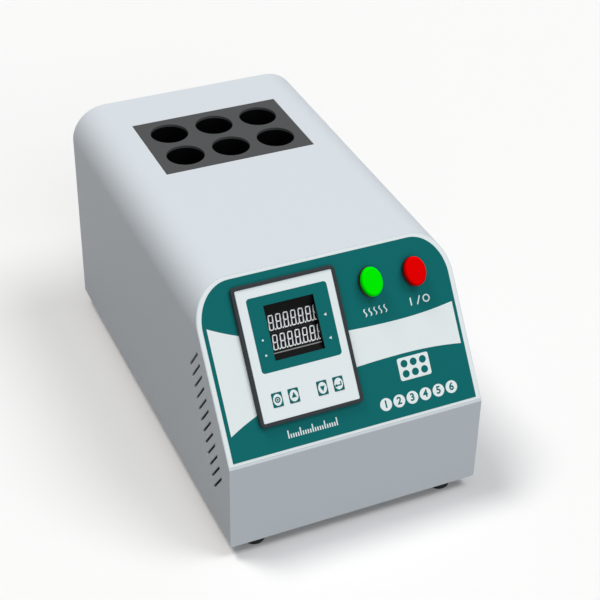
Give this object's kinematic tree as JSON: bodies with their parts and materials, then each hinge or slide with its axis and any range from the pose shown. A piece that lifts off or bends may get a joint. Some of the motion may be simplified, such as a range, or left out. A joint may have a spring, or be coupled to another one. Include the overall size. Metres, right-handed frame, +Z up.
{
  "type": "chemical oxygen demand reactor",
  "caption": "Bench-top dry block heater for glass sample tubes, with a sloped control panel, a temperature controller, push buttons and open wells in its top",
  "frame": {"origin": "middle of the footprint, on the surface that the feet stand on", "axes": "+X to the right seen from the front, +Y to the rear, +Z up; the control panel faces -Y"},
  "size_m": [0.24, 0.418, 0.23],
  "materials": {
    "painted_steel": "fine satin powder coat, light grey",
    "front_paint": "fine satin powder coat, light grey",
    "printed_film": "teal printed polyester film with a white stripe",
    "plate_grey": "dark grey hard-anodised plate",
    "bare_aluminium": "machined or extruded",
    "stainless": "mill finish sheet",
    "zinc_steel": "zinc plated",
    "black_plastic": "moulded, satin",
    "bezel_plastic": "moulded, satin dark grey",
    "face_white": "printed film, satin white",
    "key_teal": "printed film key",
    "mask_grey": "moulded, satin",
    "display_black": "dark lamp windows",
    "green_cap": "moulded, glossy",
    "red_cap": "moulded, glossy",
    "foot_rubber": "moulded",
    "ceramic_fibre": "matted fibre",
    "circuit_board": "lacquered board",
    "plated_brass": "nickel plated",
    "wire_cover": "extruded insulation",
    "fuse_glass": "drawn tube"
  },
  "bodies": {
    "housing": {"wrap_cover": "painted_steel", "front_panel": "front_paint", "front_label": "printed_film", "rear_panel": "painted_steel", "base_tray": "zinc_steel", "rubber_feet": "foot_rubber", "foot_fasteners": "zinc_steel", "rear_screws": "zinc_steel", "top_plate": "plate_grey", "heating_block": "bare_aluminium", "block_floor": "bare_aluminium", "floor_screws": "zinc_steel", "cartridge_heaters": "stainless", "block_sensor": "stainless", "thermal_cutout": "black_plastic", "insulation_jacket": "ceramic_fibre", "insulation_base": "ceramic_fibre", "block_seal": "ceramic_fibre", "inner_can": "stainless", "can_pillars": "zinc_steel", "pillar_screws": "zinc_steel", "heat_shield": "bare_aluminium", "duct_edging": "foot_rubber", "relay_heat_sink": "bare_aluminium", "solid_state_relay": "black_plastic", "terminal_block": "black_plastic", "terminal_screws": "plated_brass", "earth_stud": "plated_brass", "power_leads": "wire_cover", "signal_leads": "wire_cover", "controller_bezel": "bezel_plastic", "controller_face": "face_white", "display_mask": "mask_grey", "digit_displays": "display_black", "controller_board": "circuit_board", "key_switches": "black_plastic", "controller_case": "black_plastic", "controller_terminals": "black_plastic", "controller_clamps": "black_plastic", "clamp_screws": "zinc_steel", "button_nuts": "black_plastic", "button_contacts": "black_plastic", "button_springs": "stainless", "mains_inlet": "black_plastic", "inlet_pins": "plated_brass", "inlet_screws": "zinc_steel", "heater_button_barrel": "black_plastic", "power_button_barrel": "black_plastic"},
    "set_key": {"set_key": "key_teal"},
    "up_key": {"up_key": "key_teal"},
    "down_key": {"down_key": "key_teal"},
    "enter_key": {"enter_key": "key_teal"},
    "heater_button": {"heater_button_cap": "green_cap", "heater_button_stem": "black_plastic"},
    "power_button": {"power_button_cap": "red_cap", "power_button_stem": "black_plastic"},
    "fuse_drawer": {"fuse_drawer": "black_plastic", "fuse": "fuse_glass"}
  },
  "joints": [
    {"name": "set_key_press", "type": "slide", "parent": "housing", "child": "set_key", "axis": [0, 0.8163, -0.5777], "range_m": [0, 0.0005], "stiffness_N_per_m": 600, "springref_m": -0.0008},
    {"name": "up_key_press", "type": "slide", "parent": "housing", "child": "up_key", "axis": [0, 0.8163, -0.5777], "range_m": [0, 0.0005], "stiffness_N_per_m": 600, "springref_m": -0.0008},
    {"name": "down_key_press", "type": "slide", "parent": "housing", "child": "down_key", "axis": [0, 0.8163, -0.5777], "range_m": [0, 0.0005], "stiffness_N_per_m": 600, "springref_m": -0.0008},
    {"name": "enter_key_press", "type": "slide", "parent": "housing", "child": "enter_key", "axis": [0, 0.8163, -0.5777], "range_m": [0, 0.0005], "stiffness_N_per_m": 600, "springref_m": -0.0008},
    {"name": "heater_button_press", "type": "slide", "parent": "housing", "child": "heater_button", "axis": [0, 0.8163, -0.5777], "range_m": [0, 0.0024], "stiffness_N_per_m": 800, "springref_m": -0.003},
    {"name": "power_button_press", "type": "slide", "parent": "housing", "child": "power_button", "axis": [0, 0.8163, -0.5777], "range_m": [0, 0.0024], "stiffness_N_per_m": 800, "springref_m": -0.003},
    {"name": "fuse_drawer_slide", "type": "slide", "parent": "housing", "child": "fuse_drawer", "axis": [0, 1, 0], "range_m": [0, 0.02]}
  ]
}
